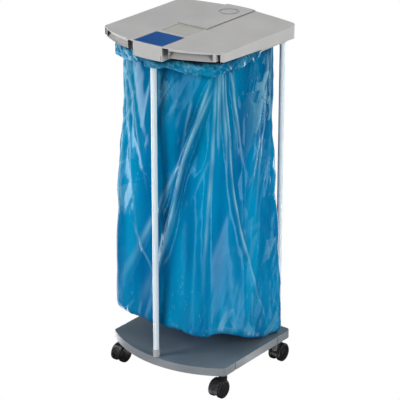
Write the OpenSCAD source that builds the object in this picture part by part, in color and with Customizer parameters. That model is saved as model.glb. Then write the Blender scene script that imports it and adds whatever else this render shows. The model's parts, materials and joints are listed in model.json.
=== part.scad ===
// Wheeled holder for an open refuse sack, in millimetres.
// X runs to the right, the front faces -Y, Z is up and the wheels stand on z = 0.

/* [Overall] */
// Height from the floor to the top of the lid spine
total_height = 1000; // [900:10:1100]
// Half of the base plate width
base_half = 196; // [190:1:204]

/* [Base plate] */
// Height of the base plate top above the floor
base_top = 92; // [90:1:100]
// Depth of the base plate edge
base_thick = 24; // [22:1:26]
// How far the front edge bulges beyond the front corners
base_bulge = 64; // [58:1:66]
// Distance from the base back edge to the front corners
base_side = 308; // [304:1:310]

/* [Posts] */
// Outer diameter of the posts
post_dia = 16; // [14:1:18]
// Wall thickness of the posts
post_wall = 1.5; // [1:0.25:2]
// Height of the collar at the foot of each post
collar_height = 22; // [14:1:30]

/* [Lid] */
// Half of the lid width
lid_half = 198; // [197:1:204]
// Wall thickness of the lid shell
lid_wall = 3; // [2.5:0.5:3.5]
// Side of the square colour marker
marker_side = 94; // [80:1:94]
// Depth of the bulge of the lid front edge
lid_bulge = 67; // [64:1:69]

/* [Bag] */
// Depth of the cuff folded down outside the ring
cuff_depth = 40; // [34:1:46]
// Depth of the vertical folds
fold_depth = 7; // [3:0.5:9]

/* [Castors] */
// Diameter of the castor wheels
wheel_dia = 50; // [46:1:50]
// Width of each castor wheel
wheel_width = 11.5; // [9:0.5:12]
// Distance from the swivel axis to the axle
castor_trail = 18; // [16:1:18]

/* [Hidden] */
$fn = 64;

// Clearances
run_gap = 0.05;
seat_gap = 0.3;

// Base plate places
base_low = base_top - base_thick;
base_back_y = 186;
base_corner_y = base_back_y - base_side;
base_wall = 4;
slot_front_y = base_corner_y + 47;
slot_back_y = base_back_y - 62;
slot_wide = 2.8;
slot_deep = 3;

// Post places
front_post_y = base_corner_y - base_bulge + 10;
back_post_x = base_half - 38;
back_post_y = base_back_y - 10;
post_foot = base_low + 4;
post_r = post_dia / 2;
collar_r = post_r + 1.3;

// Ring places
ring_top = total_height - 38;
ring_low = ring_top - 22;
ring_half = back_post_x + 10;
ring_front_y = front_post_y + post_r + 3 + 40;
ring_bulge = 40;
ring_back_y = base_back_y - 34;
ring_wide = 11;
ear_r = post_r + 4;
ear_top = ring_low + 10;
post_top = ear_top - 3;

// Lid places
lid_back_y = base_back_y + 1;
lid_back_bulge = 14;
lid_side = 324;
lid_corner_y = lid_back_y - lid_side;
lid_tip_y = lid_corner_y - lid_bulge;
wing_top = total_height - 2.5;
wing_drop = 5.5;
skirt_back = total_height - 45;
skirt_front = total_height - 31;
grip_low = skirt_front + 1;
nose_low = total_height - 43;
nose_half = 48;
finger_wide = 19;
scoop_high = 19;
scoop_deep = 10.5;
scoop_r = (scoop_deep * scoop_deep + (scoop_high - 1) * (scoop_high - 1)) / (2 * scoop_deep);
scoop_from = nose_half + finger_wide + 1;
scoop_to = lid_half - 23;
notch_wide = 9;
notch_x = scoop_to + 7;
spine_front_y = -14;
spine_back_y = lid_back_y + lid_back_bulge + 3;
spine_back_r = 460;
seam_wide = 1.4;
seam_deep = 1.8;
dimple_r = 28;
dimple_deep = 1.6;
dimple_y = spine_back_y - 2 * dimple_r - 2;
cut_wide = 1.25 * lid_half;
cut_long = 2 * cut_wide;
marker_y = lid_tip_y + 5 + marker_side / 2;
label_y = spine_front_y - 40;
label_wide = 84;
label_deep = 66;
plate_thick = 1.2;

// Hinge places
hinge_y = base_back_y + 1;
hinge_z = total_height - 35;
hinge_barrel_r = 7;
spine_low = hinge_z + 1.5;
pin_r = 3;
arm_in = 28.3;
arm_out = 40;
lug_in = 12;
lug_out = 28;

// Castor places
wheel_r = wheel_dia / 2;
axle_r = 3;
stem_r = 4;
castor_x = base_half - 22;
castor_front_y = base_corner_y + 20;
castor_back_y = base_back_y - 44;
wheel_in = 7.5;
wheel_out = wheel_in + wheel_width;
hood_r = wheel_r + 3;
hood_in_r = wheel_r + 1;
hood_half = 15;
fin_half = 6.5;
neck_top = base_low - 2;
lever_pivot_r = wheel_r - 3;
lever_pivot_a = 40;

// Bag places
bag_wall = 1;

// Outline with one curved end towards +Y and rounded corners
module arc_end(half, y_end, bulge, r) {
    big = (half * half + bulge * bulge) / (2 * bulge);
    yc = y_end + bulge - big;
    px = half - r;
    py = yc + sqrt((big - r) * (big - r) - px * px);
    tx = px * big / (big - r);
    ty = yc + (py - yc) * big / (big - r);
    polygon([[-half, 0], [half, 0], [half, py], [tx, ty], [-tx, ty], [-half, py]]);
    for (s = [-1, 1]) translate([s * px, py]) circle(r = r);
    intersection() {
        translate([0, yc]) circle(r = big, $fn = 400);
        translate([-tx, ty - 0.5]) square([2 * tx, bulge + 1]);
    }
}

// Outline with one straight end towards +Y and rounded corners
module flat_end(half, y_end, r) {
    translate([-half, 0]) square([2 * half, y_end - r]);
    translate([-half + r, 0]) square([2 * (half - r), y_end]);
    for (s = [-1, 1]) translate([s * (half - r), y_end - r]) circle(r = r);
}

module base_plan(inset) {
    flat_end(base_half - inset, base_back_y - inset, max(14 - inset, 2));
    mirror([0, 1]) arc_end(base_half - inset, -base_corner_y - inset, base_bulge, max(9 - inset, 2));
}

module ring_plan(inset) {
    flat_end(ring_half - inset, ring_back_y - inset, max(16 - inset, 2));
    mirror([0, 1]) arc_end(ring_half - inset, -ring_front_y - inset, ring_bulge, max(30 - inset, 2));
}

module lid_plan(inset) {
    arc_end(lid_half - inset, lid_back_y - inset, lid_back_bulge, max(24 - inset, 2));
    mirror([0, 1]) arc_end(lid_half - inset, -lid_corner_y - inset, lid_bulge, max(7 - inset, 2));
}

// Round bar along X, centred on a point of the YZ plane
module bar_x(y, z, r, x0, x1) {
    translate([x0, y, z]) rotate([0, 90, 0]) cylinder(r = r, h = x1 - x0);
}

// Base plate, hollow underneath, with ribs and sockets
module base_plate() color([0.5, 0.53, 0.56]) {
    difference() {
        union() {
            difference() {
                translate([0, 0, base_low]) linear_extrude(base_thick) base_plan(0);
                translate([0, 0, base_low - 1]) linear_extrude(base_thick - 3) base_plan(base_wall);
            }
            // Ribs across and along
            intersection() {
                translate([0, 0, base_low + 2]) linear_extrude(base_thick - 3) base_plan(1);
                union() {
                    for (y = [-140, -60, 20, 100]) translate([-base_half, y - 1.25, 0]) cube([2 * base_half, 2.5, base_top - 1]);
                    for (x = [-120, -40, 40, 120]) translate([x - 1.25, -250, 0]) cube([2.5, 500, base_top - 1]);
                }
            }
            // Post and castor bosses
            intersection() {
                translate([0, 0, base_low]) linear_extrude(base_thick - 1) base_plan(1);
                union() {
                    translate([0, front_post_y, base_low]) cylinder(r = post_r + 5, h = base_thick);
                    for (s = [-1, 1]) {
                        translate([s * back_post_x, back_post_y, base_low]) cylinder(r = post_r + 5, h = base_thick);
                        for (y = [castor_front_y, castor_back_y])
                            translate([s * castor_x, y, base_low]) cylinder(r = 11, h = base_thick);
                    }
                }
            }
        }
        // Post sockets
        translate([0, front_post_y, post_foot]) cylinder(r = post_r, h = 60);
        for (s = [-1, 1]) {
            translate([s * back_post_x, back_post_y, post_foot]) cylinder(r = post_r, h = 60);
            // Castor stem sockets
            for (y = [castor_front_y, castor_back_y])
                translate([s * castor_x, y, base_low - 1]) cylinder(r = stem_r, h = base_thick - 4);
            // Joint slots in the side edges
            for (y = [slot_front_y, slot_back_y])
                translate([s * base_half - slot_deep, y - slot_wide / 2, base_low - 1])
                    cube([2 * slot_deep, slot_wide, base_thick + 2]);
        }
    }
}

module post(x, y) color([0.86, 0.87, 0.88]) {
    translate([x, y, post_foot]) difference() {
        cylinder(r = post_r, h = post_top - post_foot);
        translate([0, 0, -1]) cylinder(r = post_r - post_wall, h = post_top - post_foot + 2);
    }
}

module collar(x, y) color([0.6, 0.62, 0.63]) {
    translate([x, y, base_top]) difference() {
        cylinder(r = collar_r, h = collar_height);
        translate([0, 0, -1]) cylinder(r = post_r, h = collar_height + 2);
    }
}

// Ring that carries the sack, with post ears and hinge arms
module bag_ring() color([0.58, 0.59, 0.6]) {
    difference() {
        union() {
            translate([0, 0, ring_low]) linear_extrude(ring_top - ring_low) difference() {
                ring_plan(0);
                ring_plan(ring_wide);
            }
            translate([0, 0, ring_low]) linear_extrude(ear_top - ring_low) difference() {
                union() {
                    translate([0, front_post_y]) circle(r = ear_r);
                    translate([-ear_r, front_post_y]) square([2 * ear_r, 24]);
                    for (s = [-1, 1]) {
                        translate([s * back_post_x, back_post_y]) circle(r = ear_r);
                        translate([s * back_post_x - ear_r, back_post_y - 30]) square([2 * ear_r, 30]);
                    }
                }
                ring_plan(ring_wide - 2);
            }
            // Hinge arms
            for (s = [-1, 1]) mirror([s < 0 ? 1 : 0, 0, 0]) {
                bar_x(hinge_y, hinge_z, hinge_barrel_r, arm_in, arm_out);
                translate([arm_in, 0, 0]) rotate([90, 0, 90]) linear_extrude(arm_out - arm_in)
                    polygon([[ring_back_y - 3, ring_low], [ring_back_y - 3, ring_top],
                             [hinge_y - 6.5, hinge_z + 1], [hinge_y + 5, hinge_z - 5], [hinge_y - 5, hinge_z - 12.5],
                             [ring_back_y + 18, ring_low]]);
            }
        }
        // Post bores, closed at the top
        translate([0, front_post_y, ring_low - 1]) cylinder(r = post_r, h = post_top - ring_low + 1);
        for (s = [-1, 1])
            translate([s * back_post_x, back_post_y, ring_low - 1]) cylinder(r = post_r, h = post_top - ring_low + 1);
        bar_x(hinge_y, hinge_z, pin_r, -arm_out - 1, arm_out + 1);
    }
}

module hinge_pin() color([0.75, 0.76, 0.78]) bar_x(hinge_y, hinge_z, pin_r, -arm_out - 1.5, arm_out + 1.5);

// Torus-shaped scoop along the curved front edge
front_big = (lid_half * lid_half + lid_bulge * lid_bulge) / (2 * lid_bulge);
front_yc = -(-lid_corner_y + lid_bulge - front_big);

// Slab under the gently sloping wings, lowered by a wall thickness
module roof(t) {
    low = wing_top - t - wing_drop * (cut_wide - nose_half) / (lid_half - nose_half);
    translate([0, cut_wide, 0]) rotate([90, 0, 0]) linear_extrude(cut_long) polygon([
        [-cut_wide, skirt_back - 20], [cut_wide, skirt_back - 20], [cut_wide, low],
        [nose_half - 4, wing_top - t], [4 - nose_half, wing_top - t], [-cut_wide, low]]);
}

// Lid shell with raised spine, nose, grip panels and hinge lugs
module lid() color([0.68, 0.68, 0.68]) {
    lid_deep = wing_top - skirt_back;
    difference() {
        union() {
            // Outer skin and skirt
            difference() {
                intersection() {
                    translate([0, 0, skirt_back]) linear_extrude(lid_deep) lid_plan(0);
                    roof(0);
                }
                // Hollow underneath
                intersection() {
                    translate([0, 0, skirt_back - 1]) linear_extrude(lid_deep - lid_wall + 1) lid_plan(lid_wall);
                    roof(lid_wall);
                }
                // Skirt edge that rises to the front
                translate([0, lid_back_y, skirt_back])
                    rotate([-atan2(skirt_front - skirt_back, lid_back_y - lid_corner_y), 0, 0])
                    translate([-cut_wide, -cut_long, -cut_wide]) cube([cut_long, cut_long, cut_wide]);
                // Front edge over the grips
                for (s = [-1, 1]) translate([s > 0 ? nose_half - 1 : -cut_wide, lid_tip_y - 5, skirt_back - 5])
                    cube([cut_wide + 1 - nose_half, lid_bulge + 4, grip_low - skirt_back + 5]);
            }
            // Nose block
            intersection() {
                translate([0, 0, nose_low]) linear_extrude(wing_top - 1 - nose_low) lid_plan(0);
                difference() {
                    translate([-nose_half, lid_tip_y - 1, nose_low]) cube([2 * nose_half, 38, wing_top - nose_low]);
                    translate([-nose_half + lid_wall, lid_tip_y + lid_wall, nose_low - 1])
                        cube([2 * (nose_half - lid_wall), 40, wing_top - nose_low - lid_wall]);
                }
            }
            // Inner walls behind the grip scoops
            intersection() {
                translate([0, 0, grip_low]) linear_extrude(wing_top - 2 - grip_low) difference() {
                    lid_plan(1);
                    lid_plan(14);
                }
                for (s = [-1, 1]) translate([s > 0 ? nose_half - 1 : -lid_half + 3, lid_tip_y, grip_low])
                    cube([lid_half - 2 - nose_half, lid_bulge + 8, 40]);
                roof(lid_wall - 1);
            }
            // Raised spine
            translate([-nose_half, spine_front_y, wing_top - lid_wall])
                cube([2 * nose_half, lid_back_y + 14 - spine_front_y, total_height - wing_top + lid_wall]);
            intersection() {
                translate([-nose_half, lid_back_y, spine_low])
                    cube([2 * nose_half, spine_back_y - lid_back_y, total_height - spine_low]);
                translate([0, spine_back_y - spine_back_r, 0]) cylinder(r = spine_back_r, h = total_height, $fn = 200);
                difference() {
                    translate([-cut_wide, -cut_wide, 0]) cube([cut_long, cut_long, 2 * total_height]);
                    translate([-nose_half + lid_wall, 0, 0])
                        cube([2 * (nose_half - lid_wall), spine_back_y - lid_wall - 0.7, total_height - lid_wall]);
                }
            }
            // Hinge lugs
            for (s = [-1, 1]) mirror([s < 0 ? 1 : 0, 0, 0]) {
                bar_x(hinge_y, hinge_z, hinge_barrel_r, lug_in, lug_out);
                translate([lug_in, hinge_y - hinge_barrel_r, hinge_z])
                    cube([lug_out - lug_in, 2 * hinge_barrel_r, wing_top - hinge_z - 1]);
            }
        }
        // Opening of the back skirt for the hinge arms
        translate([-nose_half + 3, lid_back_y - 6, skirt_back - 5])
            cube([2 * nose_half - 6, cut_wide, spine_low - skirt_back + 5]);
        bar_x(hinge_y, hinge_z, pin_r + run_gap, -lug_out - 1, lug_out + 1);
        // Grip scoops, finger gaps beside the nose and small end notches
        for (s = [-1, 1]) mirror([s < 0 ? 1 : 0, 0, 0]) {
            intersection() {
                translate([0, front_yc, grip_low + scoop_high]) rotate_extrude($fn = 400)
                    translate([front_big + scoop_r - scoop_deep, 0]) circle(r = scoop_r);
                translate([scoop_from, lid_tip_y - 5, grip_low + 1])
                    cube([scoop_to - scoop_from, lid_bulge + 10, scoop_high - 1]);
            }
            translate([nose_half, lid_tip_y - 5, grip_low - 2]) cube([finger_wide, 24, 26]);
            translate([notch_x, lid_corner_y - notch_wide - 4, grip_low - 2])
                cube([notch_wide, notch_wide + 6, scoop_high + 2]);
        }
        // Marker seat, label field and ring groove
        translate([-marker_side / 2, marker_y - marker_side / 2, wing_top - plate_thick])
            cube([marker_side, marker_side, 5]);
        translate([-label_wide / 2 - 1.5, label_y - label_deep / 2 - 1.5, wing_top - plate_thick])
            cube([label_wide + 3, label_deep + 3, 5]);
        translate([0, dimple_y, total_height - dimple_deep]) difference() {
            cylinder(r = dimple_r, h = 5);
            translate([0, 0, -1]) cylinder(r = dimple_r - 7, h = 7);
        }
        // Seams beside the spine
        for (s = [-1, 1]) translate([s * (nose_half + seam_wide / 2) - seam_wide / 2, spine_front_y, wing_top - seam_deep])
            cube([seam_wide, cut_wide, seam_deep + 5]);
    }
}

module colour_marker() color([0.16, 0.35, 0.6])
    translate([-marker_side / 2, marker_y - marker_side / 2, wing_top - plate_thick])
        cube([marker_side, marker_side, plate_thick + 0.3]);

module label_plate() color([0.7, 0.69, 0.62])
    translate([-label_wide / 2, label_y - label_deep / 2, wing_top - plate_thick])
        cube([label_wide, label_deep, plate_thick - 0.4]);

// Castor stem, pressed into the base socket
module castor_stem(x, y) color([0.7, 0.7, 0.72]) translate([x, y, 0]) {
    translate([0, 0, 35]) cylinder(r = stem_r, h = base_low + 18 - 35);
    translate([0, 0, neck_top + 0.1]) cylinder(r = 7, h = base_low - neck_top - 0.1);
}

// Plan of the lever slot seen from the front: a head and a stalk
module lever_front(g) {
    translate([-7.6 - g, 15.5 - g]) square([15.2 + 2 * g, 5 + 2 * g]);
    translate([-2.6 - g, -3 - g]) square([5.2 + 2 * g, 20 + 2 * g]);
}

// Castor body with hood, fin and neck; the axle lies at the trail distance
module castor_body(x, y, trail, braked) color([0.1, 0.1, 0.1]) translate([x, y, 0]) {
    ay = trail;
    py = ay - lever_pivot_r * cos(lever_pivot_a);
    pz = wheel_r + lever_pivot_r * sin(lever_pivot_a);
    difference() {
        union() {
            // Hood over both wheels
            difference() {
                bar_x(ay, wheel_r, hood_r, -hood_half, hood_half);
                bar_x(ay, wheel_r, hood_in_r, -hood_half - 1, hood_half + 1);
                translate([-30, ay - 40, -20]) cube([60, 80, wheel_r + 12]);
            }
            // Fin between the wheels
            difference() {
                bar_x(ay, wheel_r, hood_in_r + 0.5, -fin_half, fin_half);
                translate([-30, ay - 40, -20]) cube([60, 80, wheel_r + 12]);
            }
            bar_x(ay, wheel_r, 9, -fin_half, fin_half);
            // Stem boss and neck
            translate([0, 0, 30]) cylinder(r = 6.4, h = 30);
            intersection() {
                translate([0, 0, 38]) cylinder(r = 12, h = neck_top - 38);
                union() {
                    difference() {
                        translate([-20, -40, 30]) cube([40, 80, 60]);
                        bar_x(ay, wheel_r, hood_in_r, -30, 30);
                    }
                }
            }
        }
        translate([0, 0, 34]) cylinder(r = stem_r + run_gap, h = 60);
        bar_x(ay, wheel_r, axle_r, -20, 20);
        if (braked) {
            // Lever slot in the hood and the fin
            intersection() {
                translate([0, ay - 10, wheel_r]) rotate([90, 0, 0]) linear_extrude(30) lever_front(0.5);
                difference() {
                    bar_x(ay, wheel_r, hood_r + 5, -30, 30);
                    bar_x(ay, wheel_r, hood_in_r - 0.5, -30, 30);
                }
            }
            intersection() {
                translate([-3.5, ay - 40, wheel_r - 5]) cube([7, 36, 28]);
                difference() {
                    bar_x(ay, wheel_r, hood_r + 5, -30, 30);
                    bar_x(ay, wheel_r, lever_pivot_r - 3.4, -30, 30);
                }
                translate([-30, ay - 60, wheel_r - 4]) cube([60, 60 - 12, 26]);
            }
            bar_x(py, pz, 1.2, -6.2, 6.2);
        }
    }
}

module brake_pin(x, y, trail) color([0.7, 0.7, 0.72]) translate([x, y, 0])
    bar_x(trail - lever_pivot_r * cos(lever_pivot_a), wheel_r + lever_pivot_r * sin(lever_pivot_a), 1.2, -6, 6);

module brake_lever(x, y, trail) color([0.06, 0.06, 0.06]) translate([x, y, 0]) {
    py = trail - lever_pivot_r * cos(lever_pivot_a);
    pz = wheel_r + lever_pivot_r * sin(lever_pivot_a);
    difference() {
        union() {
            intersection() {
                translate([0, trail - 10, wheel_r]) rotate([90, 0, 0]) linear_extrude(30) lever_front(0);
                difference() {
                    bar_x(trail, wheel_r, hood_r - 0.7, -30, 30);
                    bar_x(trail, wheel_r, hood_in_r - 0.1, -30, 30);
                }
            }
            bar_x(py, pz, 2.4, -3, 3);
            intersection() {
                translate([-3, py - 6, pz - 2]) cube([6, 8, 4]);
                bar_x(trail, wheel_r, hood_in_r + 0.5, -30, 30);
            }
        }
        bar_x(py, pz, 1.25, -10, 10);
    }
}

module axle(x, y, trail) color([0.7, 0.7, 0.72]) translate([x, y, 0])
    bar_x(trail, wheel_r, axle_r, -wheel_out + 2.5, wheel_out - 2.5);

// Wheel with rounded tread, dished outer face and blind bore; side is 1 or -1
module wheel(x, y, trail, side) color([0.13, 0.13, 0.13]) translate([x, y + trail, wheel_r])
    rotate([0, 90 * side, 0]) rotate_extrude() difference() {
        union() {
            translate([0, wheel_in]) square([wheel_r - 2, wheel_width]);
            translate([0, wheel_in + 2]) square([wheel_r, wheel_width - 4]);
            translate([wheel_r - 2, wheel_in + 2]) circle(r = 2);
            translate([wheel_r - 2, wheel_out - 2]) circle(r = 2);
        }
        translate([-1, wheel_in - 1]) square([axle_r + run_gap + 1, wheel_width - 1.2]);
        translate([-40, wheel_in - 1]) square([40, 40]);
        // Dish in the outer face and hollow in the inner face
        translate([9, wheel_out - 0.8]) square([wheel_r - 9 - 3.5, 2]);
        translate([8, wheel_in - 1]) square([wheel_r - 8 - 4, 4]);
    }

// Bag, as rings of points from the cuff over the ring and down to the closed bottom
function mixv(a, b, t) = a + (b - a) * t;
function ease(t) = let(c = min(max(t, 0), 1)) c * c * (3 - 2 * c);
function ray_circle(c, s, x, y, r) = let(b = c * x + s * y) b + sqrt(max(b * b - x * x - y * y + r * r, 0));

// Distance from the middle to a rounded outline with a flat back end, at angle a
function flat_r(a, half, yb, r) =
    let(c = abs(cos(a)), s = sin(a), lo = atan2(yb - r, half), hi = atan2(yb, half - r), f = atan2(s, c))
    f < lo ? half / c : f > hi ? yb / s : ray_circle(c, s, half - r, yb - r, r);

// The same for a curved front end
function arc_r(a, half, yf, bulge, r) =
    let(c = abs(cos(a)), s = abs(sin(a)), big = (half * half + bulge * bulge) / (2 * bulge),
        yc = yf + bulge - big, px = half - r, py = yc + sqrt((big - r) * (big - r) - px * px),
        k = big / (big - r), f = atan2(s, c), lo = atan2(py, half), hi = atan2(yc + (py - yc) * k, px * k))
    f < lo ? half / c : f > hi ? ray_circle(c, s, 0, yc, big) : ray_circle(c, s, px, py, r);

function ring_r(a, o) = sin(a) >= 0 ? flat_r(a, ring_half + o, ring_back_y + o, 16 + o)
    : arc_r(a, ring_half + o, o - ring_front_y, ring_bulge, 30 + o);

function body_r(a) = sin(a) >= 0 ? flat_r(a, ring_half + 9, ring_back_y + 2, 16)
    : arc_r(a, ring_half + 9, -ring_front_y + 12, ring_bulge - 20, 16);

// Film path around the ring: offset from the ring outline and height above its top
cuff_off = 2.2;
film_up = 0.35;
path_front = [[cuff_off, -cuff_depth], [cuff_off, -cuff_depth * 0.6], [cuff_off, -cuff_depth * 0.25],
              [cuff_off + 0.6, -1], [cuff_off - 0.4, film_up], [-5.5, film_up]];
path_flare = [[6.5, -2], [5.6, 0], [4.4, 1.2], [2.4, 1.4], [-1, 1], [-6, film_up]];
path_back = [[-4.6, film_up], [-5.4, film_up], [-6.2, film_up], [-7, film_up], [-7.8, film_up], [-8.8, film_up]];
side_front = [[1, 0], [1, 0], [1, 0], [1, 0.4], [0.8, 1], [0, 1]];
side_flare = [[0.7, 0.7], [0.7, 0.7], [0.5, 0.9], [0.2, 1], [0, 1], [0, 1]];
side_back = [for (k = [0:5]) [0, 1]];

function back_gap(a) = let(d = abs(a - 90)) min(d, 360 - d);
function cuff_mix(a) = let(d = back_gap(a)) d < 67 ? max(d - 55, 0) / 24 : min(0.5 + (d - 67) / 36, 1);
function path_mix(p, q, r, w, k) = w < 0.5 ? mixv(p[k], q[k], 2 * w) : mixv(q[k], r[k], 2 * w - 1);
// Room for the front post ear under the cuff
function ear_bump(a) = (-front_post_y + ear_r + 2 - ring_r(270, 0)) * ease((14 - abs(a - 270)) / 8.5);

function top_point(a, k, w) = let(m = cuff_mix(a), p = path_mix(path_back, path_flare, path_front, m, k),
    n = path_mix(side_back, side_flare, side_front, m, k), o = p[0] + n[0] * w,
    r = ring_r(a, o) + (k < 5 ? ear_bump(a) : 0)) [r * cos(a), r * sin(a), ring_top + p[1] + n[1] * w];

path_in = [[0, film_up], [-0.9, -1], [-1, -12], [-1.4, -23]];
side_in = [[-0.4, 1], [-1, 0], [-1, 0], [-1, 0]];
function in_point(a, k, w) = let(r = ring_r(a, -ring_wide) + path_in[k][0] + side_in[k][0] * w)
    [r * cos(a), r * sin(a), ring_top + path_in[k][1] + side_in[k][1] * w];

function bag_low(y) = base_top + 1 + 80 * ease((110 - y) / 230);
function fold(a, t) = fold_depth * ease(t * 4) * (0.5 * sin(9 * a + 40 * t) + 0.35 * sin(16 * a + 70 * t)
    + 0.3 * sin(5 * a - 60 * t) - 0.35);
function bag_r(a, t) = mixv(ring_r(a, -ring_wide) - 1.4, body_r(a), ease(t * 1.2)) + fold(a, t);
function wall_point(a, t, w) = let(r = bag_r(a, t) - w, e = bag_low(body_r(a) * sin(a)) + 24)
    [r * cos(a), r * sin(a), mixv(ring_low - 1, e, t)];

bottom_in = [0.985, 0.93, 0.78, 0.5, 0.2];
bottom_up = [12, 3, 0, 0, 0];
function bottom_point(a, k, w) = let(r = bag_r(a, 1) * bottom_in[k] - (k < 2 ? w * 0.7 : 0))
    [r * cos(a), r * sin(a), bag_low(r * sin(a)) + bottom_up[k] + w * (k < 1 ? 0.5 : 1)];

bag_n = 80;
wall_n = 18;
row_n = 6 + 4 + wall_n + 5;
function film_point(i, a, w) = i < 6 ? top_point(a, i, w) : i < 10 ? in_point(a, i - 6, w)
    : i < 10 + wall_n ? wall_point(a, (i - 9) / wall_n, w) : bottom_point(a, i - 10 - wall_n, w);

// Film sack with a cuff outside the ring, open at the top
module bag() color([0.05, 0.45, 0.72]) {
    half_count = row_n * bag_n;
    pts = concat(
        [for (i = [0:row_n - 1]) for (j = [0:bag_n - 1]) film_point(i, j * 360 / bag_n, 0)],
        [for (i = [0:row_n - 1]) for (j = [0:bag_n - 1]) film_point(i, j * 360 / bag_n, bag_wall)],
        [[0, 0, bag_low(0)], [0, 0, bag_low(0) + bag_wall]]);
    last = row_n - 1;
    polyhedron(points = pts, faces = concat(
        [for (i = [0:last - 1]) for (j = [0:bag_n - 1]) let(n = (j + 1) % bag_n)
            [i * bag_n + j, i * bag_n + n, (i + 1) * bag_n + n]],
        [for (i = [0:last - 1]) for (j = [0:bag_n - 1]) let(n = (j + 1) % bag_n)
            [i * bag_n + j, (i + 1) * bag_n + n, (i + 1) * bag_n + j]],
        [for (i = [0:last - 1]) for (j = [0:bag_n - 1]) let(n = (j + 1) % bag_n, h = half_count)
            [h + i * bag_n + j, h + (i + 1) * bag_n + n, h + i * bag_n + n]],
        [for (i = [0:last - 1]) for (j = [0:bag_n - 1]) let(n = (j + 1) % bag_n, h = half_count)
            [h + i * bag_n + j, h + (i + 1) * bag_n + j, h + (i + 1) * bag_n + n]],
        [for (j = [0:bag_n - 1]) let(n = (j + 1) % bag_n, h = half_count) [h + j, h + n, n]],
        [for (j = [0:bag_n - 1]) let(n = (j + 1) % bag_n, h = half_count) [h + j, n, j]],
        [for (j = [0:bag_n - 1]) let(n = (j + 1) % bag_n) [last * bag_n + j, last * bag_n + n, 2 * half_count]],
        [for (j = [0:bag_n - 1]) let(n = (j + 1) % bag_n, h = half_count)
            [h + last * bag_n + n, h + last * bag_n + j, 2 * half_count + 1]]), convexity = 10);
}

base_plate();
post(0, front_post_y);  // post_front
post(-back_post_x, back_post_y);  // post_left
post(back_post_x, back_post_y);  // post_right
collar(0, front_post_y);  // collar_front
collar(-back_post_x, back_post_y);  // collar_left
collar(back_post_x, back_post_y);  // collar_right
bag_ring();
bag();
lid();
colour_marker();
label_plate();
hinge_pin();
castor_stem(-castor_x, castor_front_y);  // castor_stem_fl
castor_stem(castor_x, castor_front_y);  // castor_stem_fr
castor_stem(-castor_x, castor_back_y);  // castor_stem_bl
castor_stem(castor_x, castor_back_y);  // castor_stem_br
castor_body(-castor_x, castor_front_y, -castor_trail, true);  // castor_body_fl
castor_body(castor_x, castor_front_y, -castor_trail, true);  // castor_body_fr
castor_body(-castor_x, castor_back_y, castor_trail, false);  // castor_body_bl
castor_body(castor_x, castor_back_y, castor_trail, false);  // castor_body_br
axle(-castor_x, castor_front_y, -castor_trail);  // axle_fl
axle(castor_x, castor_front_y, -castor_trail);  // axle_fr
axle(-castor_x, castor_back_y, castor_trail);  // axle_bl
axle(castor_x, castor_back_y, castor_trail);  // axle_br
wheel(-castor_x, castor_front_y, -castor_trail, -1);  // wheel_fl_outer
wheel(-castor_x, castor_front_y, -castor_trail, 1);  // wheel_fl_inner
wheel(castor_x, castor_front_y, -castor_trail, 1);  // wheel_fr_outer
wheel(castor_x, castor_front_y, -castor_trail, -1);  // wheel_fr_inner
wheel(-castor_x, castor_back_y, castor_trail, -1);  // wheel_bl_outer
wheel(-castor_x, castor_back_y, castor_trail, 1);  // wheel_bl_inner
wheel(castor_x, castor_back_y, castor_trail, 1);  // wheel_br_outer
wheel(castor_x, castor_back_y, castor_trail, -1);  // wheel_br_inner
brake_lever(-castor_x, castor_front_y, -castor_trail);  // brake_lever_fl
brake_lever(castor_x, castor_front_y, -castor_trail);  // brake_lever_fr
brake_pin(-castor_x, castor_front_y, -castor_trail);  // brake_pin_fl
brake_pin(castor_x, castor_front_y, -castor_trail);  // brake_pin_fr
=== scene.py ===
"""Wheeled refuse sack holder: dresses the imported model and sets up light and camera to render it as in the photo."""

import json
import math
import random

import bmesh
import bpy
import numpy as np
from mathutils import Matrix, Vector, noise


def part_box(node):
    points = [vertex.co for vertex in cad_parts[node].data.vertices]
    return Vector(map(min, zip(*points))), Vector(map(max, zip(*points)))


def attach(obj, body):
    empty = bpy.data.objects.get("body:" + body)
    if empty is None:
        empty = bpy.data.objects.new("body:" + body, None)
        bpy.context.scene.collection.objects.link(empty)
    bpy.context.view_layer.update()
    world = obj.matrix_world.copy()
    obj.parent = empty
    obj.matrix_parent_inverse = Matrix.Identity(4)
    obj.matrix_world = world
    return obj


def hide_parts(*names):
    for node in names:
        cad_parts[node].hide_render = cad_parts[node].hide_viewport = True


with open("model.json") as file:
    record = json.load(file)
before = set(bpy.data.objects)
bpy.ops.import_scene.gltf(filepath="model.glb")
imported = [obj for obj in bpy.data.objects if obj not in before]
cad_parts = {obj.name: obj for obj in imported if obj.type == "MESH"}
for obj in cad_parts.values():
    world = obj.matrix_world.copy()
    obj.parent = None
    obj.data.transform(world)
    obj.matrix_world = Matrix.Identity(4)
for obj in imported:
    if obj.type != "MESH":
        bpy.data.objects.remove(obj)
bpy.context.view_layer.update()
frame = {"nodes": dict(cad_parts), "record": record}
NODES = frame["nodes"]
BODY_OF = {n: b for b, members in frame["record"]["behaviour"]["bodies"].items() for n in members}
SLOT_OF = {s["node"]: s["material_slot"] for s in frame["record"]["subparts"]}


RING_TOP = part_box("bag_ring")[0][2] + 0.022


# Materials

def linear(code, alpha=1.0):
    """sRGB hex to linear RGBA."""
    out = []
    for i in (1, 3, 5):
        c = int(code[i:i + 2], 16) / 255
        out.append(c / 12.92 if c <= 0.04045 else ((c + 0.055) / 1.055) ** 2.4)
    return (*out, alpha)


def add(tree, kind, sockets=None, **props):
    """Adds a node. A socket's value is a constant or another node's output."""
    n = tree.nodes.new(kind)
    for key, value in props.items():
        setattr(n, key, value)
    for key, value in (sockets or {}).items():
        if isinstance(value, bpy.types.NodeSocket):
            tree.links.new(value, n.inputs[key])
        else:
            n.inputs[key].default_value = value
    return n


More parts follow.
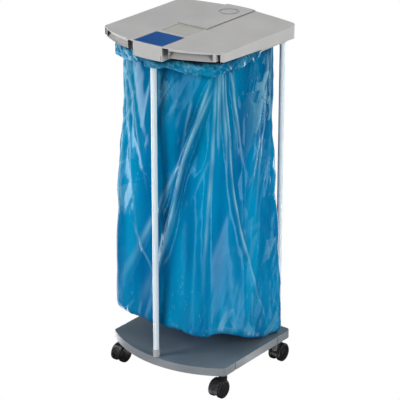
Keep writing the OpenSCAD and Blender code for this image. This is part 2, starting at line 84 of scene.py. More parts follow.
def new_material(name):
    m = bpy.data.materials.new(name)
    m.use_nodes = True
    m.node_tree.nodes.clear()
    tree = m.node_tree
    out = add(tree, "ShaderNodeOutputMaterial")
    coord = add(tree, "ShaderNodeTexCoord")
    return m, tree, out, coord.outputs["Object"]


def ramp(tree, value, stops):
    n = add(tree, "ShaderNodeValToRGB", {0: value})
    elements = n.color_ramp.elements
    while len(elements) < len(stops):
        elements.new(0.5)
    for e, (place, colour) in zip(elements, stops):
        e.position = place
        e.color = colour if not isinstance(colour, str) else linear(colour)
    return n.outputs["Color"]


def hollow_shade(tree, colour, reach, low):
    """Darkens a colour where the surface lies in a hollow or under an edge."""
    open_sky = add(tree, "ShaderNodeAmbientOcclusion", {"Distance": reach}, samples=8)
    level = add(tree, "ShaderNodeMapRange", {0: open_sky.outputs["AO"], 1: 0.4, 2: 1.0, 3: low, 4: 1.0})
    return add(tree, "ShaderNodeMixRGB", {0: 1.0, 1: colour, 2: level.outputs[0]}, blend_type="MULTIPLY").outputs[0]


def grained(name, dark, light, rough, grain_mm, bump, metallic=0.0, spread=0.06, hollow=0.0, edge=None):
    """A solid material whose colour and gloss drift a little, with a fine moulded grain."""
    m, tree, out, place = new_material(name)
    drift = add(tree, "ShaderNodeTexNoise", {"Vector": place, "Scale": 14.0, "Detail": 3.0})
    grain = add(tree, "ShaderNodeTexNoise", {"Vector": place, "Scale": 1000.0 / grain_mm, "Detail": 2.0})
    colour = ramp(tree, drift.outputs["Fac"], [(0.3, dark), (0.7, light)])
    if edge:
        # Painted shade: faces that point up keep the darker colour, as shaded from above, and upright faces take the
        # lighter edge colour
        facing = add(tree, "ShaderNodeSeparateXYZ", {0: add(tree, "ShaderNodeTexCoord").outputs["Normal"]})
        upright = add(tree, "ShaderNodeMath", {0: facing.outputs["Z"]}, operation="ABSOLUTE")
        painted_light_share = add(tree, "ShaderNodeMapRange", {0: upright.outputs[0], 1: 0.3, 2: 0.7, 3: 1.0, 4: 0.0})
        colour = add(tree, "ShaderNodeMixRGB", {0: painted_light_share.outputs[0], 1: colour, 2: linear(edge)}).outputs[0]
    # Painted shade in hollows and under edges
    if hollow:
        colour = hollow_shade(tree, colour, hollow, 0.3)
    gloss = add(tree, "ShaderNodeMapRange", {0: drift.outputs["Fac"], 1: 0.3, 2: 0.7, 3: rough - spread, 4: rough + spread})
    raised = add(tree, "ShaderNodeBump", {"Height": grain.outputs["Fac"], "Strength": bump, "Distance": grain_mm / 4000})
    shader = add(tree, "ShaderNodeBsdfPrincipled", {
        "Base Color": colour, "Roughness": gloss.outputs[0], "Normal": raised.outputs[0], "Metallic": metallic})
    tree.links.new(shader.outputs[0], out.inputs["Surface"])
    return m


def film_material():
    """Glossy blue polythene film, a little see-through, with fine crinkles, painted highlights and glints, and painted
    shade in hollows and under the lid.
    """
    m, tree, out, place = new_material("blue_film")
    tall = add(tree, "ShaderNodeMapping", {"Vector": place, "Scale": (1.0, 1.0, 0.45)})
    warp = add(tree, "ShaderNodeTexNoise", {"Vector": place, "Scale": 9.0, "Detail": 2.0})
    bent = add(tree, "ShaderNodeVectorMath", {0: warp.outputs["Color"], 1: (0.05, 0.05, 0.05), 2: tall.outputs[0]}, operation="MULTIPLY_ADD")
    crease = add(tree, "ShaderNodeTexVoronoi", {"Vector": bent.outputs[0], "Scale": 26.0}, feature="F1")
    crease_fine = add(tree, "ShaderNodeTexVoronoi", {"Vector": bent.outputs[0], "Scale": 70.0}, feature="F1")
    soft = add(tree, "ShaderNodeTexNoise", {"Vector": tall.outputs[0], "Scale": 7.0, "Detail": 3.0})
    where = add(tree, "ShaderNodeMapRange", {0: soft.outputs["Fac"], 1: 0.50, 2: 0.66, 3: 0.0, 4: 1.0})
    height = add(tree, "ShaderNodeMath", {0: crease_fine.outputs["Distance"], 1: 0.3, 2: crease.outputs["Distance"]}, operation="MULTIPLY_ADD")
    height = add(tree, "ShaderNodeMath", {0: height.outputs[0], 1: where.outputs[0]}, operation="MULTIPLY")
    raised = add(tree, "ShaderNodeBump", {"Height": height.outputs[0], "Strength": 0.16, "Distance": 0.005})
    upright = add(tree, "ShaderNodeMapping", {"Vector": place, "Scale": (1.0, 1.0, 0.16)})
    drift = add(tree, "ShaderNodeTexNoise", {"Vector": upright.outputs[0], "Scale": 13.0, "Detail": 2.0})
    colour = ramp(tree, drift.outputs["Fac"], [(0.34, "#0077B0"), (0.66, "#00A8DA")])
    # Painted shade in creases and hollows
    colour = hollow_shade(tree, colour, 0.035, 0.2)
    # Painted shade: darker towards the top of the wall, near the ring
    height_up = add(tree, "ShaderNodeSeparateXYZ", {0: place})
    upper_wall_shade = add(tree, "ShaderNodeMapRange", {0: height_up.outputs["Z"], 1: 0.66, 2: 0.80, 3: 1.0, 4: 0.8})
    colour = add(tree, "ShaderNodeMixRGB", {0: 1.0, 1: colour, 2: upper_wall_shade.outputs[0]}, blend_type="MULTIPLY").outputs[0]
    gloss = add(tree, "ShaderNodeMapRange", {0: drift.outputs["Fac"], 1: 0.3, 2: 0.7, 3: 0.06, 4: 0.10})
    # Painted highlights: pale cyan along creases and facet edges, read from the point attribute
    lines = add(tree, "ShaderNodeAttribute", attribute_name="painted_crease_highlight")
    # Painted glints: short upright pale dashes, in the same places as the fine crinkles
    painted_glints = add(tree, "ShaderNodeMapping", {"Vector": place, "Scale": (1.0, 1.0, 0.3)})
    painted_glints = add(tree, "ShaderNodeTexNoise", {"Vector": painted_glints.outputs[0], "Scale": 210.0, "Detail": 1.0})
    painted_glints = add(tree, "ShaderNodeMapRange", {0: painted_glints.outputs["Fac"], 1: 0.66, 2: 0.76, 3: 0.0, 4: 0.28})
    painted_glints = add(tree, "ShaderNodeMath", {0: painted_glints.outputs[0], 1: where.outputs[0]}, operation="MULTIPLY")
    painted_light_share = add(tree, "ShaderNodeMath", {0: lines.outputs["Fac"], 1: 0.95, 2: painted_glints.outputs[0]}, operation="MULTIPLY_ADD", use_clamp=True)
    # Mix in the pale cyan of the painted highlights and glints
    colour = add(tree, "ShaderNodeMixRGB", {0: painted_light_share.outputs[0], 1: colour, 2: linear("#A4EAFC")}).outputs[0]
    # Softer reflections lower down, where the film hangs loose
    loose = add(tree, "ShaderNodeMapRange", {0: height_up.outputs["Z"], 1: 0.28, 2: 0.50, 3: 0.14, 4: 0.0})
    gloss = add(tree, "ShaderNodeMath", {0: gloss.outputs[0], 1: loose.outputs[0]}, operation="ADD")
    # The cuff is darker while the lid covers it
    near_lid = add(tree, "ShaderNodeMapRange", {0: height_up.outputs["Z"], 1: RING_TOP - 0.036, 2: RING_TOP - 0.008, 3: 0.0, 4: 1.0})
    open_sky = add(tree, "ShaderNodeAmbientOcclusion", {"Distance": 0.15}, samples=8)
    covered = add(tree, "ShaderNodeMapRange", {0: open_sky.outputs["AO"], 1: 0.45, 2: 0.90, 3: 0.96, 4: 0.0})
    shade = add(tree, "ShaderNodeMath", {0: near_lid.outputs[0], 1: covered.outputs[0]}, operation="MULTIPLY")
    shade = add(tree, "ShaderNodeMath", {0: 1.0, 1: shade.outputs[0]}, operation="SUBTRACT")
    colour = add(tree, "ShaderNodeMixRGB", {0: 1.0, 1: colour, 2: shade.outputs[0]}, blend_type="MULTIPLY").outputs[0]
    mirror = add(tree, "ShaderNodeMath", {0: upper_wall_shade.outputs[0], 1: 0.5}, operation="MULTIPLY")
    mirror = add(tree, "ShaderNodeMath", {0: loose.outputs[0], 1: -1.4, 2: mirror.outputs[0]}, operation="MULTIPLY_ADD")
    lit = add(tree, "ShaderNodeMath", {0: shade.outputs[0], 1: mirror.outputs[0]}, operation="MULTIPLY")
    body = add(tree, "ShaderNodeBsdfPrincipled", {
        "Base Color": colour, "Roughness": gloss.outputs[0], "IOR": 1.51, "Normal": raised.outputs[0],
        "Specular IOR Level": lit.outputs[0], "Specular Tint": linear("#84D2F8")})
    through = add(tree, "ShaderNodeBsdfTranslucent", {"Color": colour, "Normal": raised.outputs[0]})
    clear = add(tree, "ShaderNodeBsdfTransparent", {"Color": linear("#0C9AD6")})
    glow = add(tree, "ShaderNodeMixShader", {0: 0.3, 1: body.outputs[0], 2: through.outputs[0]})
    whole = add(tree, "ShaderNodeMixShader", {0: 0.12, 1: glow.outputs[0], 2: clear.outputs[0]})
    tree.links.new(whole.outputs[0], out.inputs["Surface"])
    return m


MATERIALS = {
    # The lid gets painted shade in its hollows and grip scoops
    "lid_grey": grained("moulded_lid_grey", "#AFAEAD", "#B5B4B3", 0.5, 0.7, 0.25, hollow=0.03),
    "frame_grey": grained("moulded_frame_grey", "#A3A4A5", "#AAABAC", 0.5, 0.7, 0.25),
    # The base's dark slate-blue top is painted shade under the lid and bag, with the bag's blue as a painted
    # reflection; its upright faces keep the lighter grey
    "base_grey": grained("moulded_base_grey", "#58666F", "#606E77", 0.5, 0.7, 0.25, edge="#7F8489"),
    "marker_blue": grained("marker_blue", "#20508F", "#255794", 0.35, 0.5, 0.15),
    "label_field": grained("label_field", "#A9A8A1", "#AEADA6", 0.5, 0.5, 0.15),
    # The post's pale cyan tint is a painted reflection of the blue bag on plain aluminium
    "post_metal": grained("aluminium_post_painted_bag_blue", "#D8E6EC", "#E0ECF1", 0.45, 4.0, 0.02, metallic=0.2),
    "castor_black": grained("castor_black", "#1C1C1E", "#232325", 0.38, 0.5, 0.2),
    "wheel_black": grained("wheel_black", "#18181A", "#202022", 0.42, 0.5, 0.2),
    "steel": grained("plated_steel", "#A8A8AA", "#B4B4B6", 0.3, 0.4, 0.1, metallic=1.0),
    "blue_film": film_material(),
}


# Dressed copies of the CAD pieces

def dress(node, bevel_mm=0.0, segments=2, sharp_deg=32.0):
    """A copy of a CAD node with flats joined, edges rounded and curves shaded smoothly."""
    mesh = NODES[node].data.copy()
    mesh.name = node + "_dressed"
    # The imported normals don't fit the joined flats
    if "custom_normal" in mesh.attributes:
        mesh.attributes.remove(mesh.attributes["custom_normal"])
    bm = bmesh.new()
    bm.from_mesh(mesh)
    bmesh.ops.remove_doubles(bm, verts=bm.verts, dist=2e-6)
    # The ribbed underside of the base keeps its facets, because a flat with pockets can't be one polygon
    under = {e for e in bm.edges if all(f.normal.z < -0.99 for f in e.link_faces)} if node == "base_plate" else set()
    bmesh.ops.dissolve_limit(bm, angle_limit=math.radians(0.6), verts=bm.verts, edges=[e for e in bm.edges if e not in under])
    for f in bm.faces:
        f.smooth = True
    for e in bm.edges:
        e.smooth = len(e.link_faces) == 2 and e.calc_face_angle(0.0) < math.radians(sharp_deg)
    bm.to_mesh(mesh)
    bm.free()
    piece = bpy.data.objects.new(node + "_dressed", mesh)
    bpy.context.scene.collection.objects.link(piece)
    mesh.materials.clear()
    mesh.materials.append(MATERIALS[SLOT_OF[node]])
    if bevel_mm:
        b = piece.modifiers.new("rounded_edges", "BEVEL")
        b.width = bevel_mm / 1000
        b.segments = segments
        b.limit_method = "ANGLE"
        b.angle_limit = math.radians(sharp_deg)
        b.use_clamp_overlap = False
        b.miter_outer = "MITER_ARC"
        w = piece.modifiers.new("even_flats", "WEIGHTED_NORMAL")
        w.keep_sharp = True
        for e in mesh.edges:
            e.use_edge_sharp = False
    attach(piece, BODY_OF[node])
    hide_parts(node)
    return piece


BEVEL_MM = {"lid": 0.35, "base_plate": 1.0, "bag_ring": 0.8, "colour_marker": 0.2}
for name in sorted(NODES):
    if name == "bag":
        continue
    kind = next((v for k, v in (("castor_body", 0.6), ("wheel", 0.5), ("collar", 0.5), ("brake_lever", 0.3)) if name.startswith(k)), 0.0)
    dress(name, BEVEL_MM.get(name, kind))


# Film sack

CUFF_DEEP = 0.040
RING_HALF, RING_BACK, RING_FRONT, RING_BULGE, RING_WIDE = 0.168, 0.152, -0.125, 0.040, 0.011
BODY_HALF, BODY_BACK, BODY_FRONT, BODY_BULGE = 0.177, 0.154, -0.137, 0.020
BASE_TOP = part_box("base_plate")[1][2]
POST_FRONT_Y = -0.176
COLUMNS = 384


def clamp(x, lo=0.0, hi=1.0):
    return min(max(x, lo), hi)


def ease(t):
    t = clamp(t)
    return t * t * (3 - 2 * t)


def outline(half, back, front, bulge, r_back, r_front, count=2400):
    """Closed outline with a straight back and an arc front, by angle from +X."""
    big = (half * half + bulge * bulge) / (2 * bulge)
    centre_y = front - bulge + big
    points = []
    for i in range(count):
        a = 2 * math.pi * i / count
        c, s = math.cos(a), math.sin(a)
        lo, hi = 0.0, 1.0
        for _ in range(26):
            t = (lo + hi) / 2
            x, y = abs(t * c), t * s
            if y > 0:
                inside = x <= half and y <= back
                if inside and x > half - r_back and y > back - r_back:
                    inside = math.hypot(x - half + r_back, y - back + r_back) <= r_back
            else:
                inside = x <= half and math.hypot(x, y - centre_y) <= big
                px = half - r_front
                py = centre_y - math.sqrt((big - r_front) ** 2 - px * px)
                if inside and x > px and y < py and (x - px) * (centre_y - py) - (py - y) * px > 0:
                    inside = math.hypot(x - px, y - py) <= r_front
            lo, hi = (t, hi) if inside else (lo, t)
        points.append(Vector((lo * c, lo * s)))
    return points


def even(points, count):
    """The same closed outline at even spacing, with outward normals."""
    steps = [(points[(i + 1) % len(points)] - p).length for i, p in enumerate(points)]
    total = sum(steps)
    out, i, done = [], 0, 0.0
    for k in range(count):
        want = total * k / count
        while done + steps[i] < want:
            done += steps[i]
            i += 1
        out.append(points[i].lerp(points[(i + 1) % len(points)], (want - done) / steps[i]))
    normals = []
    for k in range(count):
        d = out[(k + 2) % count] - out[k - 2]
        normals.append(Vector((d.y, -d.x)).normalized())
    return out, normals, total


inner, inner_n, inner_len = even(outline(RING_HALF - RING_WIDE - 0.0014, RING_BACK - RING_WIDE - 0.0014, RING_FRONT + RING_WIDE + 0.0014, RING_BULGE - 0.002, 0.005, 0.019), COLUMNS)
body, body_n, body_len = even(outline(BODY_HALF, BODY_BACK, BODY_FRONT, BODY_BULGE, 0.016, 0.016), COLUMNS)
outer, outer_n, outer_len = even(outline(RING_HALF, RING_BACK, RING_FRONT, RING_BULGE, 0.016, 0.030), COLUMNS)


def corner_s(points, total, x_sign, y_sign):
    best = max(range(len(points)), key=lambda i: points[i].x * x_sign + points[i].y * y_sign * 1.05)
    return total * best / len(points)


S_FR = corner_s(body, body_len, 1, -1)
S_FL = corner_s(body, body_len, -1, -1)
S_BR = corner_s(body, body_len, 1, 1)
S_BL = corner_s(body, body_len, -1, 1)
S_FRONT = body_len * 0.75


def stroke_list():
    """Creases of the film: start on the outline, depth there, slope, length, height, width, bend and painted highlight.

    A painted highlight below zero stands for a broad band of painted highlight instead of a line.
    """
    rnd = random.Random(41)
    strokes = []

    def fan(at, low, high, count, reach, height, width, jitter=0.012):
        for i in range(count):
            slope = low + (high - low) * (i + 0.5 + rnd.uniform(-0.35, 0.35)) / count
            start = at + (i - (count - 1) / 2) * 0.0075 + rnd.uniform(-jitter, jitter) * 0.3
            strokes.append((start, rnd.uniform(-0.02, 0.05), slope, reach * rnd.uniform(0.55, 1.25),
                            height * rnd.uniform(0.45, 1.2), width * rnd.uniform(0.7, 1.4), rnd.uniform(-0.12, 0.12), rnd.uniform(0.1, 0.6)))

    # Main folds from the front right corner: offset, top, slope, length, height, width, bend, painted highlight
    for offset, *rest in (
            (0.010, 0.0, -0.36, 0.90, 0.0240, 0.0120, 0.06, 1.0), (0.002, 0.06, -0.42, 0.34, 0.0080, 0.0080, 0.00, 0.7),
            (0.014, 0.0, -0.04, 0.70, 0.0120, 0.0090, 0.00, 0.7), (0.022, 0.0, 0.02, 0.26, 0.0110, 0.0070, 0.00, 1.0),
            (0.031, 0.0, 0.02, 0.22, 0.0080, 0.0050, 0.00, 0.8), (0.041, 0.0, 0.03, 0.34, 0.0100, 0.0070, 0.15, 0.7),
            (0.054, 0.0, 0.00, 0.90, 0.0140, 0.0090, 0.27, 0.9), (0.074, 0.0, 0.12, 0.36, 0.0090, 0.0080, 0.30, 0.6),
            (-0.030, 0.14, -0.50, 0.66, 0.0150, 0.0300, 0.00, 0.1), (-0.095, 0.26, -0.56, 0.46, 0.0010, 0.0110, 0.00, -0.5),
            (-0.120, 0.40, -0.40, 0.40, 0.0010, 0.0160, 0.00, -0.25), (0.090, 0.00, 0.05, 0.30, 0.0010, 0.0080, 0.00, -0.35)):
        strokes.append((S_FR + offset, *rest))
    fan(S_FL, -0.20, 0.34, 5, 0.55, 0.0090, 0.0100)
    fan(S_BR, -0.34, 0.30, 6, 0.50, 0.0080, 0.0080)
    fan(S_BL, -0.30, 0.30, 9, 0.46, 0.0080, 0.0080)
    fan(S_FRONT, -0.30, 0.22, 3, 0.20, 0.0030, 0.0080)
    # Loose creases all over the wall, mostly upright
    for _ in range(18):
        strokes.append((rnd.uniform(0, body_len), rnd.uniform(0.0, 0.78), rnd.gauss(0, 0.22), rnd.uniform(0.07, 0.26),
                        rnd.choice((-1, 1, 1)) * rnd.uniform(0.0012, 0.0045), rnd.uniform(0.006, 0.016), rnd.uniform(-0.5, 0.5), rnd.uniform(0.0, 0.5)))
    # Gathered lower edge
    for _ in range(14):
        strokes.append((rnd.uniform(0, body_len), rnd.uniform(0.66, 0.76), rnd.gauss(0, 0.25), rnd.uniform(0.08, 0.20),
                        rnd.uniform(0.002, 0.0060), rnd.uniform(0.006, 0.014), 0.0, rnd.uniform(0.0, 0.5)))
    return strokes


def creases(depths):
    """Outward offset of the wall in metres and painted highlight along the crease lines, for every depth and column."""
    s = np.arange(COLUMNS) * body_len / COLUMNS
    out = np.zeros(depths.shape)
    painted_highlight = np.zeros(depths.shape)

    def soft(t):
        t = np.clip(t, 0, 1)
        return t * t * (3 - 2 * t)

    for at, top, slope, length, height, width, bend, shine in stroke_list():
        h = depths - top
        t = h / length
        d = apart(s[None, :], at + slope * h + bend * h * h)
        w = width * (0.55 + 1.5 * np.clip(h, 0, 0.8))
        fade = soft(t / 0.18) * (1 - soft((t - 0.35) / 0.65))
        crest = np.exp(-np.sqrt(d * d + 4e-6) / w) - 0.35 * np.exp(-(d / (3.2 * w)) ** 2)
        out += height * crest * fade
        # Painted highlight along each crease, broken along its length
        broken = 0.72 + 0.28 * np.sin(depths * (43 + 600 * height) + at * 90)
        breadth = 0.0034 if shine > 0 else w
        painted_highlight += abs(shine) * np.exp(-(d / breadth) ** 2) * soft(t / 0.1) * (1 - soft((t - 0.5) / 0.5)) * (t > 0) * broken
    return out, painted_highlight


def apart(s, at):
    """Signed distance along the outline, the short way round."""
    return (s - at + body_len / 2) % body_len - body_len / 2


def facets(depths, across, down, seed, lean):
    """Film crumpled into flat triangles of a size in metres: height from -1 to 1, painted highlight along the edges,
    tilt.
    """
    count = round(body_len / across)
    rng = np.random.default_rng(seed)
    knots = rng.uniform(-1, 1, (int(1.1 / down) + 3, count))
    s = np.arange(COLUMNS)[None, :] * body_len / COLUMNS
    turn = 2 * math.pi * s / body_len
    wave = 0.45 * across * (np.sin(depths * 9.0 + seed) + np.sin(turn * 6 + depths * 17.0 + 2 * seed))
    u = (s + lean * depths + wave) / body_len * count
    v = np.maximum(depths / down + 0.35 * np.sin(turn * 5 + seed) + 0.5, 0)
    i, j = np.floor(u).astype(int), np.floor(v).astype(int)
    fu, fv = u - i, v - j
    j = np.minimum(j, knots.shape[0] - 2)
    a, b = knots[j, i % count], knots[j, (i + 1) % count]
    c, d = knots[j + 1, i % count], knots[j + 1, (i + 1) % count]
    near = a + fu * (b - a) + fv * (c - a)
    far = d + (1 - fu) * (c - d) + (1 - fv) * (b - d)
    edge = across * np.minimum(np.minimum(fu, 1 - fu), np.abs(1 - fu - fv))
    first = fu + fv < 1
    return np.where(first, near, far), np.exp(-(edge / 0.0026) ** 2) * np.clip(a + d, 0, 1), np.where(first, a - c, b - d)


def crumple(depths):
    """Flat-faced crumpling, strong at four places and slight elsewhere: offset in metres and painted highlight."""
    s = np.arange(COLUMNS)[None, :] * body_len / COLUMNS
    near_left = np.exp(-(apart(s, S_FL + 0.010) / 0.050) ** 2 - (depths / 0.42) ** 4)
    near_back = np.exp(-(apart(s, S_BR - 0.030) / 0.075) ** 2)
    near_foot = np.exp(-(apart(s, S_FR + 0.110) / 0.110) ** 2 - ((depths - 0.74) / 0.13) ** 2)
    hidden = np.exp(-(apart(s, (S_BR + S_FL) / 2) / 0.30) ** 4)
    near_hem = np.exp(-(apart(s, S_FR - 0.150) / 0.040) ** 2 - ((depths - 0.07) / 0.05) ** 2)
    zone = np.clip(0.10 + near_left + near_back + 0.8 * near_foot + 0.9 * near_hem + 0.5 * hidden, 0, 1)
    start = np.clip(depths / 0.05, 0, 1)
    big, big_edge, big_tilt = facets(depths, 0.055, 0.170, 3, 0.30)
    mid, mid_edge, mid_tilt = facets(depths, 0.028, 0.060, 5, 0.10)
    fine, fine_edge, fine_tilt = facets(depths, 0.013, 0.024, 8, -0.15)
    offset = 0.0060 * big * (0.25 + 0.75 * zone) + 0.0032 * mid * zone + 0.0011 * fine * zone * zone
    seen = np.clip(zone - 0.1 - 0.3 * hidden, 0, 1)
    upper = 1 - 0.8 * np.clip((depths - 0.2) / 0.2, 0, 1)
    # Painted highlights along facet edges, and painted reflections on facets that tilt toward the light
    painted_highlight = seen * (0.45 * big_edge + 0.40 * mid_edge + 0.3 * fine_edge * seen * upper)
    painted_highlight += seen * np.clip(2.5 * (0.9 * big_tilt + 0.6 * mid_tilt + 0.3 * fine_tilt * upper - 0.5), 0, 0.55)
    return offset * start, painted_highlight * start * (1 - 0.5 * np.clip((depths - 0.45) / 0.2, 0, 1))


def billow(k, depth, drop):
    """Slow swell of the film, in metres."""
    t = depth / drop
    x, y = body[k].x, body[k].y
    p = Vector((x, y, -depth * 0.45))
    slow = 0.0120 * ease(t * 4) * noise.noise(p * 6 + Vector((3, 1, 5)))
    broad = 0.0110 * ease(depth / 0.55) * noise.noise(Vector((x * 15, y * 15, 4 - depth * 1.4)))
    return slow + broad


def pulled(k, t):
    """How far the hanging film is drawn sideways at its front right and back right corners."""
    s = body_len * k / COLUMNS
    front = math.exp(-((s - S_FR) / 0.09) ** 2) * ease(t * 1.1)
    back = math.exp(-((s - S_BR - (body_len if S_BR > S_FR + body_len / 2 else 0)) / 0.05) ** 2) * ease((t - 0.7) / 0.25)
    return Vector((-0.028 * front + 0.009 * back, -0.004 * front))


def low_z(x, y):
    """Height of the sack bottom: the front hangs free, the back touches the base."""
    return BASE_TOP + 0.001 + 0.080 * ease((0.110 - y) / 0.230)


def film_rows():
    """Rows of the film from the cuff hem, over the ring, down the wall and in to the middle of the bottom."""
    rows = []
    n = COLUMNS

    def ear(k):
        d = abs(outer[k].x)
        return 0.0245 * (1 - ease((d - 0.012) / 0.02)) if outer[k].y < 0 else 0.0

    def back_gap(k):
        return ease((outer[k].y - 0.03) / 0.06) * 1.0

    # Cuff outside the ring and over its top
    over = [(0.0022, -0.001), (0.0006, 0.0014), (-0.0035, 0.0018), (-0.0080, 0.0018)]
    cuff = [(0.0030 + 0.0018 * math.sin(3.0 * i / 13), -CUFF_DEEP * (1 - i / 14)) for i in range(14)] + over
    levels = np.array([[CUFF_DEEP + up] * n for _, up in cuff])
    wrinkle, wrinkle_edge, _ = facets(levels, 0.017, 0.013, 12, 0.2)
    fine, fine_edge, _ = facets(levels, 0.009, 0.007, 14, -0.3)
    wrinkle = wrinkle + 0.5 * fine
    # Painted highlights along the cuff's wrinkle edges
    painted_highlight = list(0.36 * wrinkle_edge + 0.16 * fine_edge)
    for i, (off, up) in enumerate(cuff):
        row = []
        for k in range(n):
            side = back_gap(k)
            short = (1 - 0.93 * side) * (1 - 0.28 * math.exp(-(outer[k].x / 0.06) ** 2))
            x, y = outer[k].x, outer[k].y
            hem = 0.006 * noise.noise(Vector((x * 22, y * 22, 1.7))) + 0.004 * noise.noise(Vector((x * 60, y * 60, 4.7)))
            z = RING_TOP + (up * short if up < 0 else up) + (hem * (-up / CUFF_DEEP) * short if up < 0 else 0)
            side_puff = 0.0022 * (1 + float(wrinkle[i, k])) * clamp((len(cuff) - 4 - i) / 3, 0.15)
            kept = clamp((len(cuff) - 2 - i) / 3)
            # Less room beside the nose of the lid
            if outer[k].y < 0 and 0.036 < abs(outer[k].x) < 0.056:
                side_puff *= 0.25
            o = off * (1 - 0.8 * side) + (side_puff if i < len(cuff) - 3 else 0) * (1 - 0.8 * side) + ear(k) * kept
            p = outer[k] + outer_n[k] * o
            row.append(Vector((p.x, p.y, z)))
        rows.append(row)
    # Down the inside of the ring
    for up in (-0.0005, -0.006, -0.012, -0.018):
        rows.append([Vector((inner[k].x, inner[k].y, RING_TOP + up)) for k in range(n)])
        painted_highlight.append(np.zeros(n))
    # Hanging wall
    steps = 190
    top = RING_TOP - 0.020
    drops = [top - low_z(body[k].x, body[k].y) - 0.022 for k in range(n)]
    depths = [[drops[k] * i / steps for k in range(n)] for i in range(1, steps + 1)]
    fold, fold_painted_highlight = creases(np.array(depths))
    crush, crush_painted_highlight = crumple(np.array(depths))
    pressed = fold + crush
    painted_highlight += list(np.clip(fold_painted_highlight + crush_painted_highlight, 0, 1))
    for i, level in enumerate(depths):
        row = []
        for k in range(n):
            w = ease((i + 1) / steps * 1.2)
            p = inner[k].lerp(body[k], w)
            normal = inner_n[k].lerp(body_n[k], w).normalized()
            p = p + pulled(k, (i + 1) / steps) + normal * (float(pressed[i, k]) + billow(k, level[k], drops[k])) * ease(level[k] / 0.03)
            row.append(Vector((p.x, p.y, top - level[k])))
        rows.append(row)
    # Rounded edge and sagging bottom
    last = rows[-1]
    for scale, up in ((0.992, 0.013), (0.975, 0.006), (0.95, 0.002), (0.91, 0.0), (0.85, -0.0005), (0.76, 0.0), (0.64, 0.0), (0.5, 0.0), (0.35, 0.0), (0.2, 0.0), (0.08, 0.0)):
        row = []
        for k in range(n):
            x, y = last[k].x * scale, last[k].y * scale
            bump = 0.003 * noise.noise(Vector((x, y, 0)) * 30 + Vector((5, 5, 5))) + 0.002 * noise.noise(Vector((x, y, 3)) * 70)
            row.append(Vector((x, y, max(low_z(x, y) + up + bump * (1 if y < 0.1 else 0.3), BASE_TOP + 0.0008))))
        rows.append(row)
        painted_highlight.append(painted_highlight[-1] * 0.6)
    return rows, np.array(painted_highlight)


def grid_piece(name, rows, closed_end=True):
    """Mesh of closed rows, with a pole after the last one."""
    n = len(rows[0])
    verts = [p for row in rows for p in row]
    faces = []
    for r in range(len(rows) - 1):
        a, b = r * n, (r + 1) * n
        for k in range(n):
            j = (k + 1) % n
            faces.append((a + k, b + k, b + j, a + j))
    if closed_end:
        centre = sum(rows[-1], Vector()) / n
        verts.append(centre)
        a = (len(rows) - 1) * n
        for k in range(n):
            faces.append((a + k, len(verts) - 1, a + (k + 1) % n))
    mesh = bpy.data.meshes.new(name)
    mesh.from_pydata(verts, [], faces)
    mesh.polygons.foreach_set("use_smooth", [True] * len(mesh.polygons))
    piece = bpy.data.objects.new(name, mesh)
    bpy.context.scene.collection.objects.link(piece)
    return piece


film, film_painted_highlight = film_rows()
sack = grid_piece("film_sack", film)
# Painted highlights of creases, facet edges and cuff wrinkles, stored per point for the film material
painted_crease_highlight = sack.data.attributes.new("painted_crease_highlight", "FLOAT", "POINT")
painted_crease_highlight.data.foreach_set("value", np.append(film_painted_highlight.ravel(), 0.0).astype(np.float32))
sack.data.materials.append(MATERIALS["blue_film"])
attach(sack, "stand")
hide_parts("bag")


# Floor, light and camera

def studio_bands(tree, place):
    """Brightness that a mirror-like ray meets, by compass direction: tall soft panels in a dark studio."""
    split = add(tree, "ShaderNodeSeparateXYZ", {0: place})
    turn = add(tree, "ShaderNodeMath", {0: split.outputs["Y"], 1: split.outputs["X"]}, operation="ARCTAN2")
    place01 = add(tree, "ShaderNodeMapRange", {0: turn.outputs[0], 1: -math.pi, 2: math.pi, 3: 0.0, 4: 1.0})
    stops = []
    for middle, half, level in PANELS:
        for at, v in ((middle - half - 0.01, 0.004), (middle - half, level), (middle + half, level), (middle + half + 0.01, 0.004)):
            stops.append((at, (v, v, v, 1)))
    return ramp(tree, place01.outputs[0], stops)


# Middle and half width of each panel as a share of a turn from -X through -Y, and its level
PANELS = ((0.042, 0.022, 0.9), (0.240, 0.008, 0.8), (0.355, 0.014, 0.4), (0.562, 0.012, 0.8), (0.735, 0.018, 0.9))


def backdrop():
    mesh = bpy.data.meshes.new("floor")
    mesh.from_pydata([(-4, -4, 0), (4, -4, 0), (4, 4, 0), (-4, 4, 0)], [], [(0, 1, 2, 3)])
    floor = bpy.data.objects.new("floor", mesh)
    bpy.context.scene.collection.objects.link(floor)
    m, tree, out, place = new_material("white_floor")
    soft = add(tree, "ShaderNodeTexNoise", {"Vector": place, "Scale": 2.0})
    tint = ramp(tree, soft.outputs["Fac"], [(0.3, "#9A9A9C"), (0.7, "#A2A2A4")])
    matte = add(tree, "ShaderNodeBsdfDiffuse", {"Color": tint})
    glow = add(tree, "ShaderNodeEmission", {"Color": (1, 1, 1, 1), "Strength": 1.0})
    panels = add(tree, "ShaderNodeEmission", {"Color": studio_bands(tree, place), "Strength": 6.0})
    path = add(tree, "ShaderNodeLightPath")
    mix = add(tree, "ShaderNodeMixShader", {0: path.outputs["Is Glossy Ray"], 1: matte.outputs[0], 2: panels.outputs[0]})
    mix = add(tree, "ShaderNodeMixShader", {0: path.outputs["Is Camera Ray"], 1: mix.outputs[0], 2: glow.outputs[0]})
    tree.links.new(mix.outputs[0], out.inputs["Surface"])
    mesh.materials.append(m)


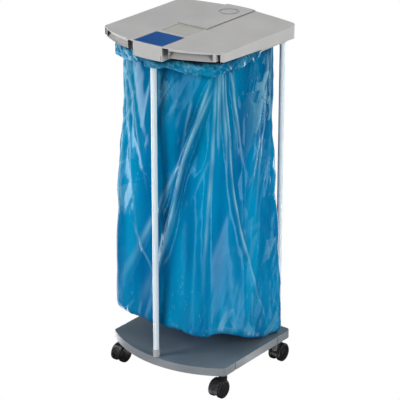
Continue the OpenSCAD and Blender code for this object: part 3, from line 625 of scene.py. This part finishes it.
def world_light():
    world = bpy.data.worlds.new("studio")
    bpy.context.scene.world = world
    world.use_nodes = True
    tree = world.node_tree
    tree.nodes.clear()
    out = add(tree, "ShaderNodeOutputWorld")
    coord = add(tree, "ShaderNodeTexCoord")
    split = add(tree, "ShaderNodeSeparateXYZ", {0: coord.outputs["Generated"]})
    shade = ramp(tree, add(tree, "ShaderNodeMapRange", {0: split.outputs["Z"], 1: -0.2, 2: 1.0, 3: 0.0, 4: 1.0}).outputs[0],
                 [(0.0, "#6E6E70"), (0.3, "#A0A0A2"), (1.0, "#DADADC")])
    path = add(tree, "ShaderNodeLightPath")
    room = add(tree, "ShaderNodeBackground", {"Color": shade, "Strength": 0.8})
    # Mirror-like rays see tall panels in a dim room, so that the film keeps its depth of colour
    panels = add(tree, "ShaderNodeBackground", {"Color": studio_bands(tree, coord.outputs["Generated"]), "Strength": 6.5})
    room = add(tree, "ShaderNodeMixShader", {0: path.outputs["Is Glossy Ray"], 1: room.outputs[0], 2: panels.outputs[0]})
    white = add(tree, "ShaderNodeBackground", {"Color": (1, 1, 1, 1), "Strength": 1.0})
    mix = add(tree, "ShaderNodeMixShader", {0: path.outputs["Is Camera Ray"], 1: room.outputs[0], 2: white.outputs[0]})
    tree.links.new(mix.outputs[0], out.inputs["Surface"])


def softbox(name, place, aim, size, power, tint="#FFFFFF"):
    light = bpy.data.lights.new(name, "AREA")
    light.shape = "RECTANGLE"
    light.size, light.size_y = size
    light.energy = power
    light.color = linear(tint)[:3]
    lamp = bpy.data.objects.new(name, light)
    bpy.context.scene.collection.objects.link(lamp)
    lamp.location = place
    lamp.visible_glossy = False
    lamp.rotation_euler = (Vector(aim) - Vector(place)).to_track_quat("-Z", "Y").to_euler()


def camera():
    azimuth, pitch = math.radians(37.9), math.radians(22.5)
    right = Vector((math.cos(azimuth), math.sin(azimuth), 0))
    ahead = Vector((-math.sin(azimuth) * math.cos(pitch), math.cos(azimuth) * math.cos(pitch), -math.sin(pitch)))
    up = right.cross(ahead)
    data = bpy.data.cameras.new("photo_camera")
    data.lens = 169.9
    data.sensor_width = 36.0
    data.clip_end = 100.0
    cam = bpy.data.objects.new("photo_camera", data)
    bpy.context.scene.collection.objects.link(cam)
    turn = Matrix((right, up, -ahead)).transposed().to_4x4()
    cam.matrix_world = Matrix.Translation((2.9427, -3.7605, 2.4760)) @ turn
    bpy.context.scene.camera = cam


backdrop()
world_light()
softbox("key_left", (-1.6, -2.4, 1.5), (0, 0, 0.55), (1.0, 2.0), 74)
softbox("fill_right", (2.6, -0.4, 1.3), (0, 0, 0.55), (0.7, 2.0), 50)
softbox("top", (0.2, 0.3, 2.9), (0, 0, 0.9), (1.6, 1.6), 13)
camera()
bpy.context.scene.view_settings.view_transform = "Standard"
